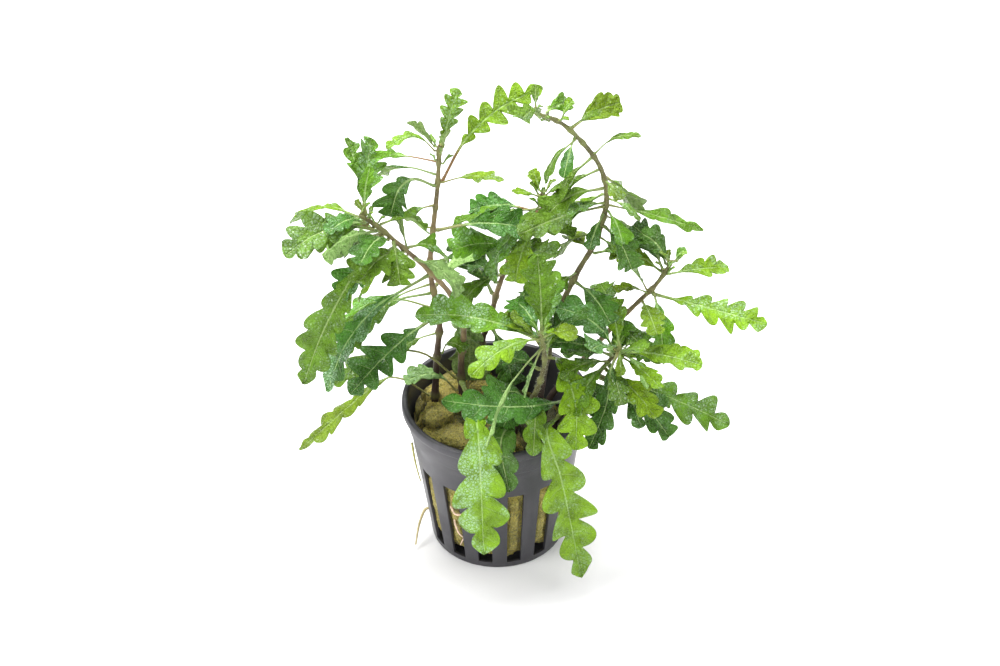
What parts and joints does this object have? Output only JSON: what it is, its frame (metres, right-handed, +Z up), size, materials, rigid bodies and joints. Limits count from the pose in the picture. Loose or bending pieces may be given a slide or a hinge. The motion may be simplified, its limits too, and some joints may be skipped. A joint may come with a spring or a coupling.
{
  "type": "potted hygrophila",
  "caption": "Bushy stem plant with lobed leaves, rooted in rock wool in a tapered, slotted plastic net pot; free-standing on its flat base.",
  "frame": {"origin": "centre of the pot's flat base, on the surface that it stands on", "axes": "+Z up out of the pot, +X to the right and -Y towards the viewer of its front side"},
  "size_m": [0.1368, 0.0646, 0.1476],
  "materials": {
    "plastic": "satin charcoal",
    "wool": "fibrous, damp",
    "bark": "matt, finely hairy",
    "root": "matt",
    "young_leaf": "satin, yellow-green",
    "mid_leaf": "satin, fresh green",
    "dark_leaf": "glossy, deep green",
    "pale_leaf": "matt, pale underside"
  },
  "bodies": {
    "root": {"pot": "plastic", "rock_wool": "wool", "wool_tuft_left": "wool", "wool_tuft_front": "wool", "tall_stem": "bark", "leaning_stem": "bark", "back_stem": "bark", "arching_stem": "bark", "right_stem": "bark", "low_stem": "bark", "front_stem": "bark", "tall_leaf_upright": "young_leaf", "tall_leaf_arched": "young_leaf", "tall_leaf_long": "young_leaf", "tall_leaf_level": "young_leaf", "tall_leaf_far": "mid_leaf", "tall_leaf_twisted": "dark_leaf", "tall_leaf_right": "dark_leaf", "tall_leaf_turned": "pale_leaf", "tall_leaf_left": "mid_leaf", "tall_leaf_lobed": "dark_leaf", "leaning_leaf_glossy": "dark_leaf", "leaning_leaf_low": "mid_leaf", "leaning_leaf_silver": "dark_leaf", "leaning_leaf_upright": "mid_leaf", "leaning_leaf_yellow": "young_leaf", "leaning_leaf_large": "dark_leaf", "leaning_leaf_pale": "pale_leaf", "leaning_leaf_round": "dark_leaf", "leaning_leaf_inner": "mid_leaf", "back_leaf_dark": "dark_leaf", "back_leaf_light": "mid_leaf", "back_leaf_blue": "dark_leaf", "front_leaf_upright": "mid_leaf", "front_leaf_young": "young_leaf", "front_leaf_round": "young_leaf", "front_leaf_wide": "mid_leaf", "arching_leaf_crown": "mid_leaf", "arching_leaf_oval": "young_leaf", "arching_leaf_hanging": "mid_leaf", "arching_leaf_left": "mid_leaf", "arching_leaf_right": "mid_leaf", "arching_leaf_bright": "young_leaf", "low_leaf_across": "dark_leaf", "low_leaf_left": "dark_leaf", "low_leaf_top": "young_leaf", "low_leaf_pale": "young_leaf", "low_leaf_long": "mid_leaf", "right_leaf_tip": "young_leaf", "right_leaf_dark": "dark_leaf", "right_leaf_hanging": "mid_leaf", "right_leaf_large": "young_leaf", "front_leaf_edge": "pale_leaf", "arching_leaf_front": "mid_leaf", "low_leaf_hanging": "dark_leaf", "leaning_trailer": "young_leaf", "front_trailer": "dark_leaf", "low_trailer": "mid_leaf", "tall_trailer": "young_leaf", "root_strand": "root"}
  },
  "joints": []
}
